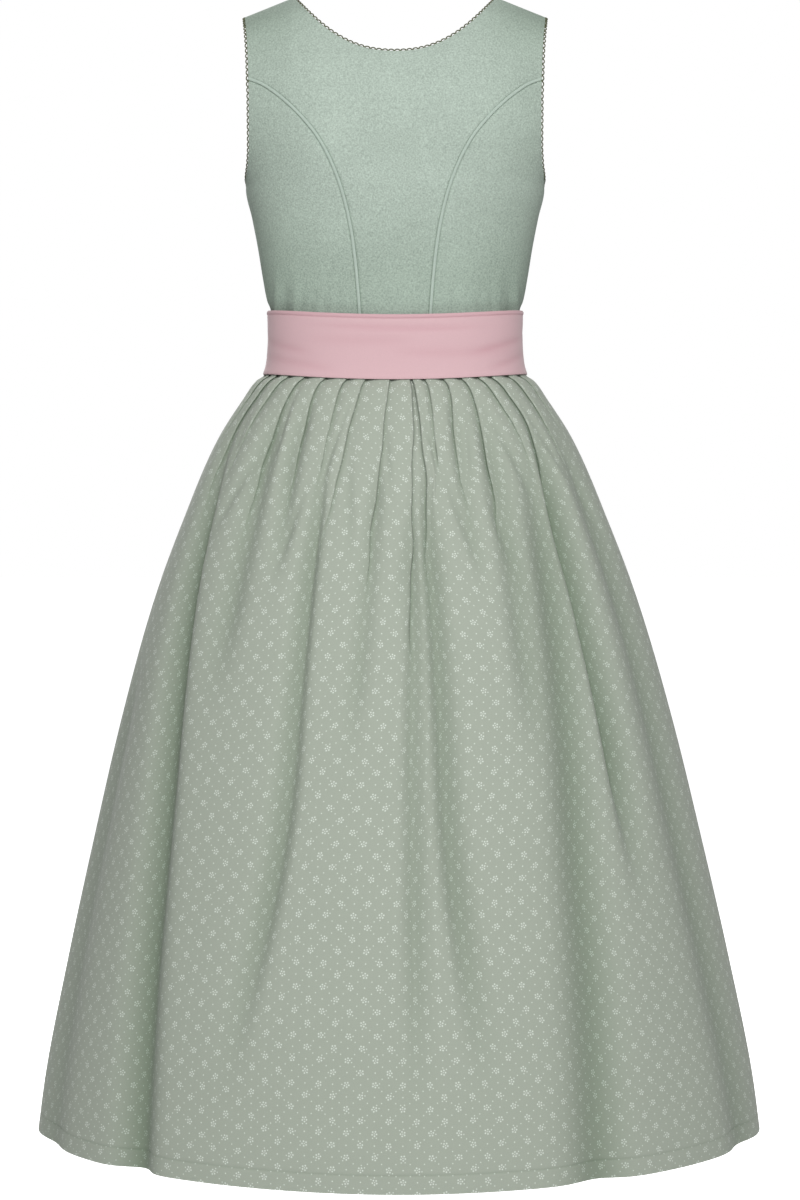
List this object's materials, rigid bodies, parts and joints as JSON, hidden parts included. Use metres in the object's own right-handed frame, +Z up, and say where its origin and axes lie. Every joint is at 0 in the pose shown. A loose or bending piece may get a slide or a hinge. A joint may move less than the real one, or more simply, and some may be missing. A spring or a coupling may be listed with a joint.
{
  "type": "dirndl dress",
  "caption": "Sleeveless dirndl dress in its worn, filled-out form: panelled bodice with round back neck, sash, and full knife-pleated skirt.",
  "frame": {"origin": "midway between the shoulders, level with the neck points, where the wearer's shoulders carry the dress", "axes": "+Z up, +Y the way the wearer faces, +X towards the wearer's right; the dress's back faces -Y"},
  "size_m": [0.754, 0.6075, 1.1728],
  "materials": {
    "bodice_crepe": "matte sage green crepe with a fine grain",
    "piping_crepe": "piping of the bodice's own crepe",
    "picot_edging": "small looped edging, a darker sage green",
    "skirt_print": "grey green cotton with a small off-white sprig and dot print, softly lustrous",
    "sash_cotton": "plain dusty pink cotton, softly lustrous"
  },
  "bodies": {
    "root": {"bodice_back_centre": "bodice_crepe", "bodice_back_side_left": "bodice_crepe", "bodice_back_side_right": "bodice_crepe", "bodice_front_left": "bodice_crepe", "bodice_front_right": "bodice_crepe", "bodice_front_side_left": "bodice_crepe", "bodice_front_side_right": "bodice_crepe", "piping_back_left": "piping_crepe", "piping_back_right": "piping_crepe", "piping_front_left": "piping_crepe", "piping_front_right": "piping_crepe", "neck_edging": "picot_edging", "armhole_edging_left": "picot_edging", "armhole_edging_right": "picot_edging", "skirt_back": "skirt_print", "skirt_front": "skirt_print", "sash": "sash_cotton"}
  },
  "joints": []
}
